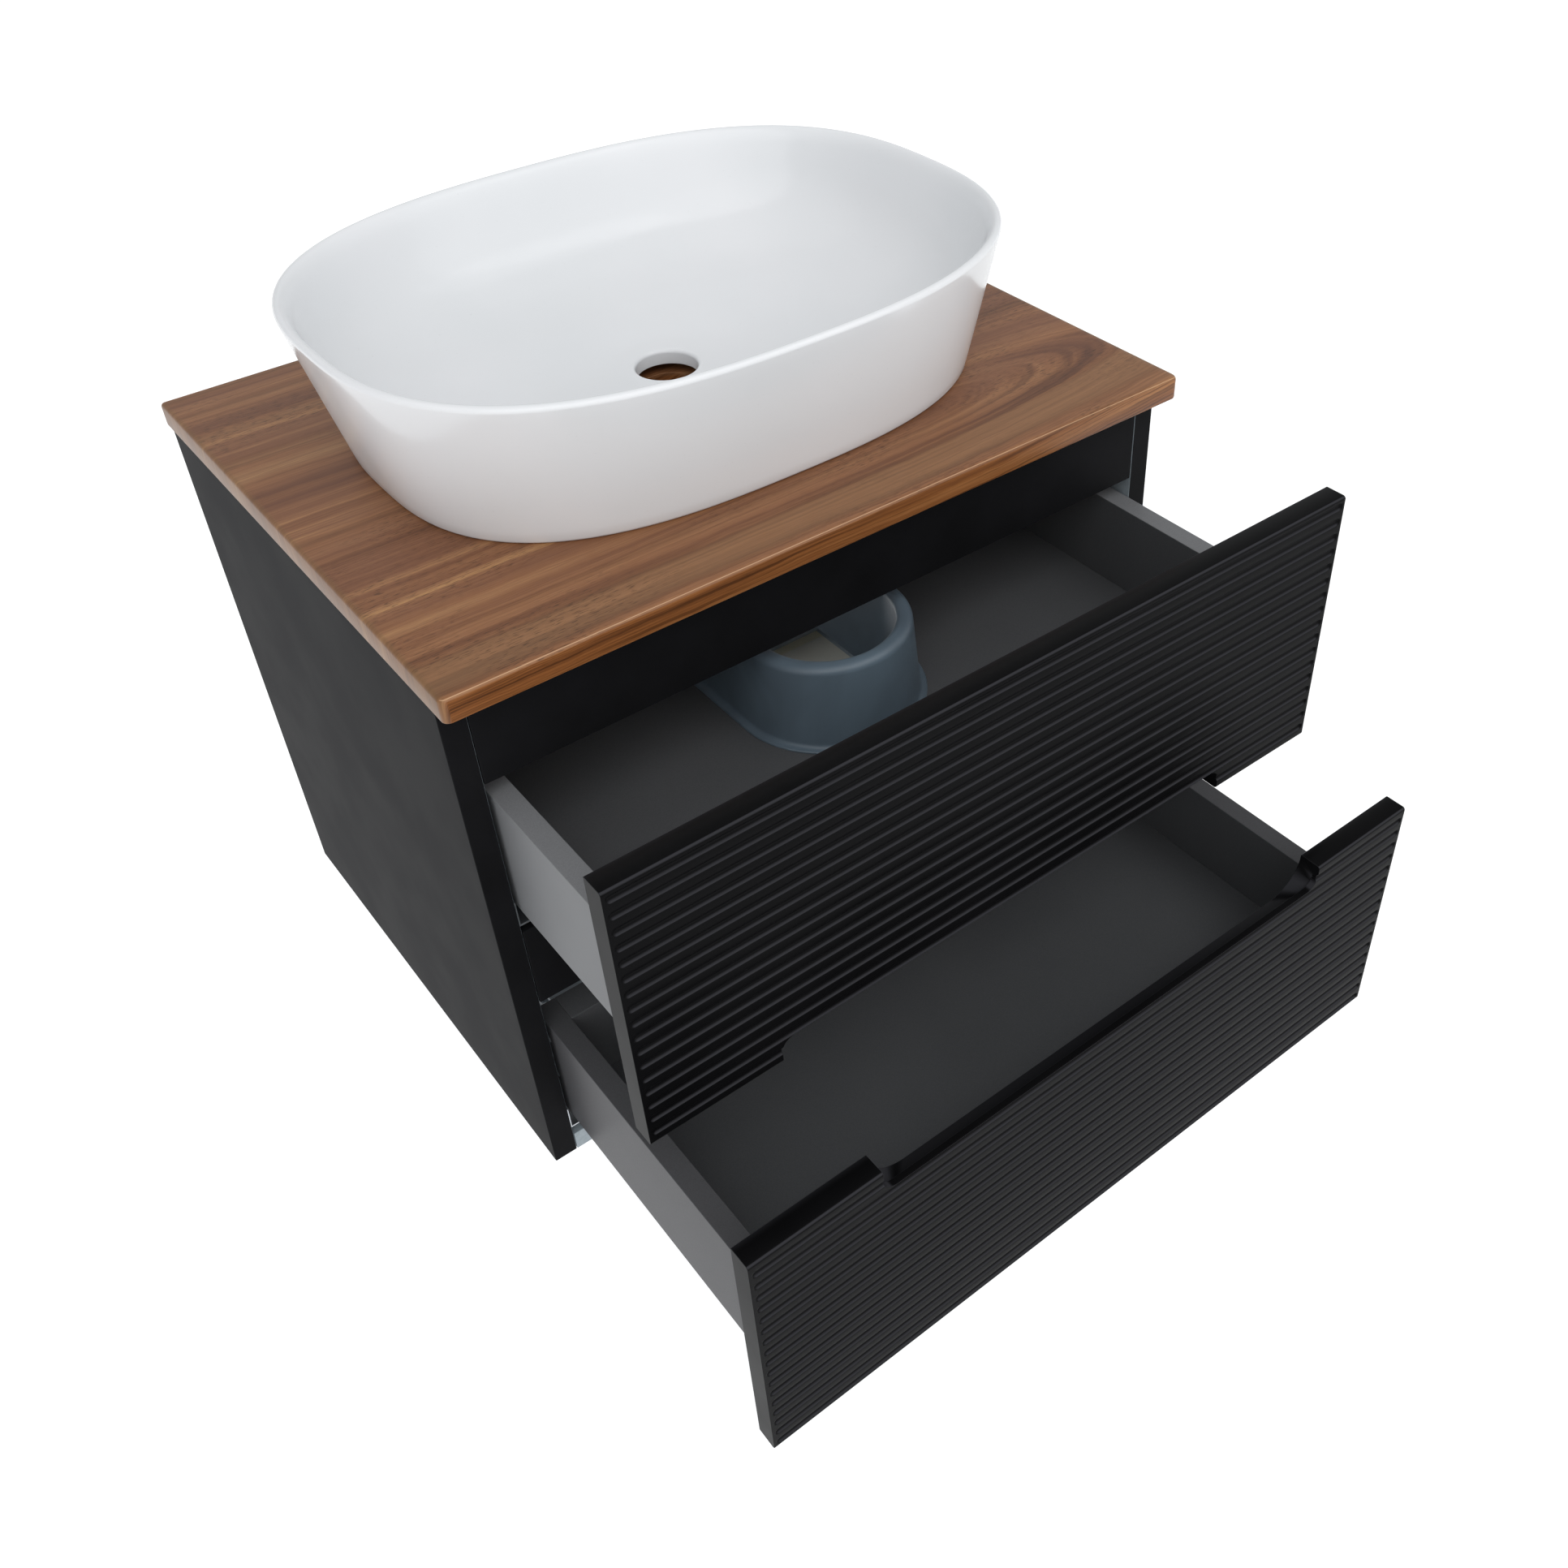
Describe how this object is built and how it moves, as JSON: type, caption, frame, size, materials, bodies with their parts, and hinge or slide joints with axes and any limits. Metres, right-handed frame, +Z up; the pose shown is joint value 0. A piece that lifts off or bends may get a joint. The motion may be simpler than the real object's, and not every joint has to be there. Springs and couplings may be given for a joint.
{
  "type": "vessel sink on vanity",
  "caption": "Wall-hung washstand: oval ceramic vessel basin on a walnut worktop over a black carcass with grooved handleless drawers, the upper one with a trap recess.",
  "frame": {"origin": "centre of the wall plates' four screw holes, on the wall", "axes": "+Z up, +Y into the wall, the drawer fronts face -Y, +X to the right seen from the front"},
  "size_m": [0.6, 0.722, 0.577],
  "materials": {
    "ceramic": "glossy white glaze",
    "sealant": "translucent white silicone",
    "worktop": "satin walnut-decor laminate on chipboard",
    "black_board": "black satin foil on board, pale grey inside",
    "black_front": "black satin lacquer on grooved MDF",
    "grey_board": "light grey melamine on chipboard",
    "graphite_board": "graphite melamine on chipboard, fine texture",
    "zinc": "bright zinc-plated sheet steel",
    "cam_metal": "die-cast zinc",
    "beech": "raw grooved beech",
    "nylon": "white nylon",
    "clip_plastic": "dark grey moulded plastic",
    "insert_plastic": "blue-grey satin moulded plastic",
    "buffer_rubber": "clear soft polyurethane",
    "paper": "matt paper label, blank"
  },
  "bodies": {
    "cabinet": {"basin": "ceramic", "basin_sealant": "sealant", "worktop": "worktop", "side_panel_left": "black_board", "side_panel_right": "black_board", "bottom_panel": "grey_board", "top_front_rail": "black_board", "middle_front_rail": "black_board", "rear_top_rail": "grey_board", "rear_bottom_rail": "grey_board", "hanger_housings": "nylon", "hanger_hooks": "zinc", "hanger_screws": "zinc", "wall_plates": "zinc", "worktop_brackets": "zinc", "bracket_screws": "zinc", "cam_locks": "cam_metal", "cam_bolts": "zinc", "dowels": "beech", "paper_label": "paper", "upper_cabinet_runner_left": "zinc", "upper_cabinet_runner_right": "zinc", "lower_cabinet_runner_left": "zinc", "lower_cabinet_runner_right": "zinc", "runner_screws": "zinc"},
    "upper_drawer": {"upper_front": "black_front", "upper_side_left": "graphite_board", "upper_side_right": "graphite_board", "upper_bottom": "graphite_board", "upper_back_left": "graphite_board", "upper_back_right": "graphite_board", "trap_insert": "insert_plastic", "upper_drawer_runner_left": "zinc", "upper_drawer_runner_right": "zinc", "upper_front_clips": "clip_plastic", "upper_box_screws": "zinc", "upper_buffers": "buffer_rubber"},
    "lower_drawer": {"lower_front": "black_front", "lower_side_left": "graphite_board", "lower_side_right": "graphite_board", "lower_bottom": "graphite_board", "lower_back": "graphite_board", "lower_drawer_runner_left": "zinc", "lower_drawer_runner_right": "zinc", "lower_front_clips": "clip_plastic", "lower_box_screws": "zinc", "lower_buffers": "buffer_rubber"},
    "upper_middle_members": {"upper_runner_rollers": "nylon", "upper_middle_runner_left": "zinc", "upper_middle_runner_right": "zinc"},
    "lower_middle_members": {"lower_runner_rollers": "nylon", "lower_middle_runner_left": "zinc", "lower_middle_runner_right": "zinc"}
  },
  "joints": [
    {"name": "upper_drawer_slide", "type": "slide", "parent": "cabinet", "child": "upper_drawer", "axis": [0, -1, 0], "range_m": [-0.1675, 0.101]},
    {"name": "lower_drawer_slide", "type": "slide", "parent": "cabinet", "child": "lower_drawer", "axis": [0, -1, 0], "range_m": [-0.2685, 0]},
    {"name": "upper_middle_slide", "type": "slide", "parent": "cabinet", "child": "upper_middle_members", "axis": [0, -1, 0], "range_m": [-0.08385, 0.0506]},
    {"name": "lower_middle_slide", "type": "slide", "parent": "cabinet", "child": "lower_middle_members", "axis": [0, -1, 0], "range_m": [-0.13435, 0.0001]}
  ],
  "couplings": [
    {"joint": "upper_middle_slide", "follows": "upper_drawer_slide", "ratio": 0.5},
    {"joint": "lower_middle_slide", "follows": "lower_drawer_slide", "ratio": 0.5}
  ]
}
